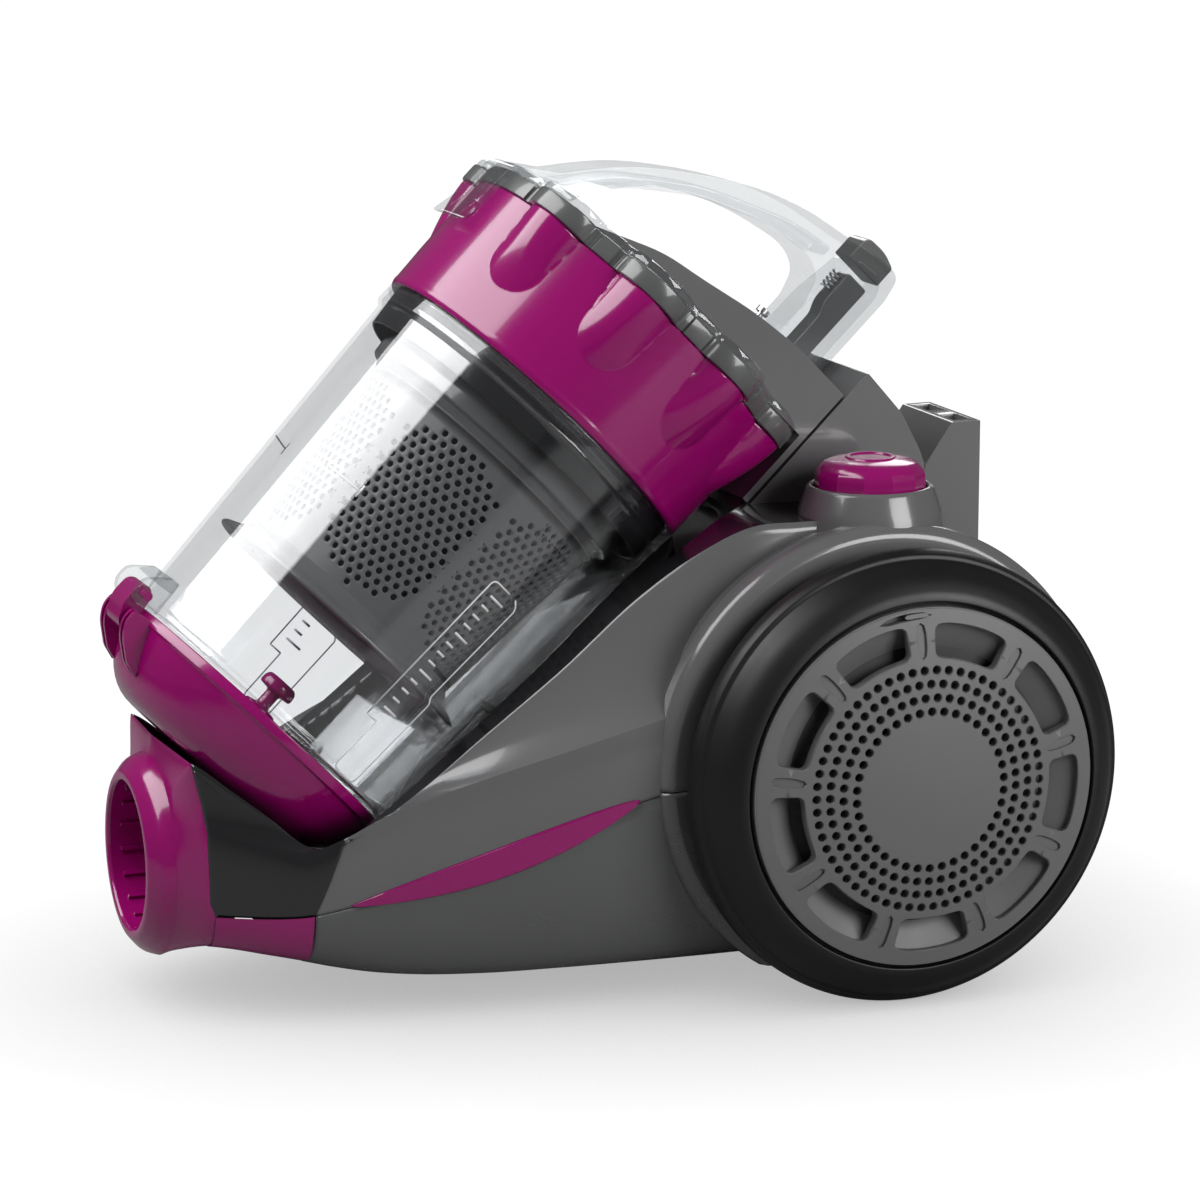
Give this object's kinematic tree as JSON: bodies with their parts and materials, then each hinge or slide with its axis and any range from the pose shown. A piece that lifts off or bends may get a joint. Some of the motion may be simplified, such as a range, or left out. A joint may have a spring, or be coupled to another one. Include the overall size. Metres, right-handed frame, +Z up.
{
  "type": "canister vacuum cleaner",
  "caption": "Bagless canister vacuum cleaner: tilted clear dust cup with a carrying handle on a wheeled body, large side wheels, hose socket at the front.",
  "frame": {"origin": "middle of the footprint, on the floor", "axes": "+X towards the hose socket, +Y the left side, +Z up"},
  "size_m": [0.4218, 0.3, 0.3583],
  "materials": {
    "grey": "glossy graphite grey moulding",
    "dark": "near-black glossy moulding",
    "magenta": "glossy magenta moulding",
    "clear": "clear moulded plastic",
    "satin_grey": "satin grey moulding",
    "tyre": "matte black soft tyre",
    "seal": "black rubber",
    "inner": "plain dark moulding inside",
    "foam": "filter foam",
    "steel": "bright steel",
    "copper_iron": "motor core and windings"
  },
  "bodies": {
    "chassis": {"lower_shell": "grey", "upper_shell": "grey", "front_cradle": "dark", "hose_socket": "magenta", "socket_seal": "seal", "inlet_duct": "inner", "intake_housing": "grey", "intake_seal": "seal", "pre_motor_filter": "foam", "parking_block": "grey", "power_switch": "inner", "button_springs": "steel", "lock_pointers": "satin_grey", "exhaust_filters": "foam", "casing_screws": "steel", "motor_casing": "inner", "motor_body": "copper_iron", "motor_mounts": "seal", "reel_spindle": "inner", "brake_pin": "steel", "cord_grommet": "seal", "side_inlay_left": "magenta", "side_inlay_right": "magenta", "wheel_hub_left": "inner", "wheel_hub_right": "inner", "button_bezel_left": "grey", "button_bezel_right": "grey"},
    "motor_rotor": {"motor_shaft": "steel", "fan": "inner"},
    "cord_reel": {"cord_reel": "inner"},
    "brake_lever": {"brake_lever": "inner"},
    "wheel_left": {"tyre_left": "tyre", "wheel_rim_left": "inner"},
    "wheel_right": {"tyre_right": "tyre", "wheel_rim_right": "inner"},
    "cover_left": {"filter_cover_left": "satin_grey"},
    "cover_right": {"filter_cover_right": "satin_grey"},
    "castor_fork": {"castor_fork": "inner", "castor_axle": "steel"},
    "castor_wheel": {"castor_wheel": "seal"},
    "power_button": {"power_button": "magenta"},
    "rewind_button": {"rewind_button": "magenta"},
    "dust_cup": {"dust_bin": "clear", "flap_hinge_pin": "magenta", "shroud": "grey", "shroud_skirt": "grey", "cyclone_head": "grey", "lid_ring": "magenta", "lid_seal": "seal", "lid_rim": "grey", "lid_cover": "clear", "outlet_duct": "grey", "handle": "clear", "handle_screw": "steel", "release_spring": "steel"},
    "bottom_flap": {"bottom_flap": "magenta", "flap_plate": "magenta", "flap_seal": "seal"},
    "release": {"release_button": "grey", "release_lever": "inner"}
  },
  "joints": [
    {"name": "wheel_left_spin", "type": "hinge", "parent": "chassis", "child": "wheel_left", "pos_m": [-0.111, 0, 0.1], "axis": [0, 1, 0], "continuous": true},
    {"name": "wheel_right_spin", "type": "hinge", "parent": "chassis", "child": "wheel_right", "pos_m": [-0.111, 0, 0.1], "axis": [0, 1, 0], "continuous": true},
    {"name": "castor_swivel", "type": "hinge", "parent": "chassis", "child": "castor_fork", "pos_m": [0.062, 0, 0.03], "axis": [0, 0, 1], "continuous": true},
    {"name": "castor_wheel_spin", "type": "hinge", "parent": "castor_fork", "child": "castor_wheel", "pos_m": [0.051, 0, 0.012], "axis": [0, 1, 0], "continuous": true},
    {"name": "cup_lift", "type": "slide", "parent": "chassis", "child": "dust_cup", "axis": [0, 0, 1], "range_m": [0, 0.45]},
    {"name": "flap_open", "type": "hinge", "parent": "dust_cup", "child": "bottom_flap", "pos_m": [0.19592, 0, 0.18135], "axis": [0, -1, 0], "range_deg": [0, 85]},
    {"name": "release_press", "type": "slide", "parent": "dust_cup", "child": "release", "axis": [0.712, 0, -0.7022], "range_m": [0, 0.004], "stiffness_N_per_m": 500, "springref_m": -0.002},
    {"name": "power_press", "type": "slide", "parent": "chassis", "child": "power_button", "axis": [0, 0, -1], "range_m": [0, 0.004], "stiffness_N_per_m": 600, "springref_m": -0.002},
    {"name": "rewind_press", "type": "slide", "parent": "chassis", "child": "rewind_button", "axis": [0, 0, -1], "range_m": [0, 0.004], "stiffness_N_per_m": 600, "springref_m": -0.002},
    {"name": "brake_rock", "type": "hinge", "parent": "chassis", "child": "brake_lever", "pos_m": [-0.099, 0, 0.186], "axis": [0, -1, 0], "range_deg": [0, 20]},
    {"name": "cover_left_twist", "type": "hinge", "parent": "chassis", "child": "cover_left", "pos_m": [-0.111, 0, 0.1], "axis": [0, 1, 0], "range_deg": [0, 12]},
    {"name": "cover_right_twist", "type": "hinge", "parent": "chassis", "child": "cover_right", "pos_m": [-0.111, 0, 0.1], "axis": [0, 1, 0], "range_deg": [0, 12]},
    {"name": "motor_spin", "type": "hinge", "parent": "chassis", "child": "motor_rotor", "pos_m": [-0.107, 0, 0.1045], "axis": [0, 1, 0], "continuous": true},
    {"name": "reel_spin", "type": "hinge", "parent": "chassis", "child": "cord_reel", "pos_m": [-0.107, 0, 0.1045], "axis": [0, 1, 0], "continuous": true}
  ],
  "couplings": [
    {"joint": "flap_open", "follows": "cup_lift", "rad_per_m": 3.2966},
    {"joint": "brake_rock", "follows": "rewind_press", "rad_per_m": 70}
  ]
}
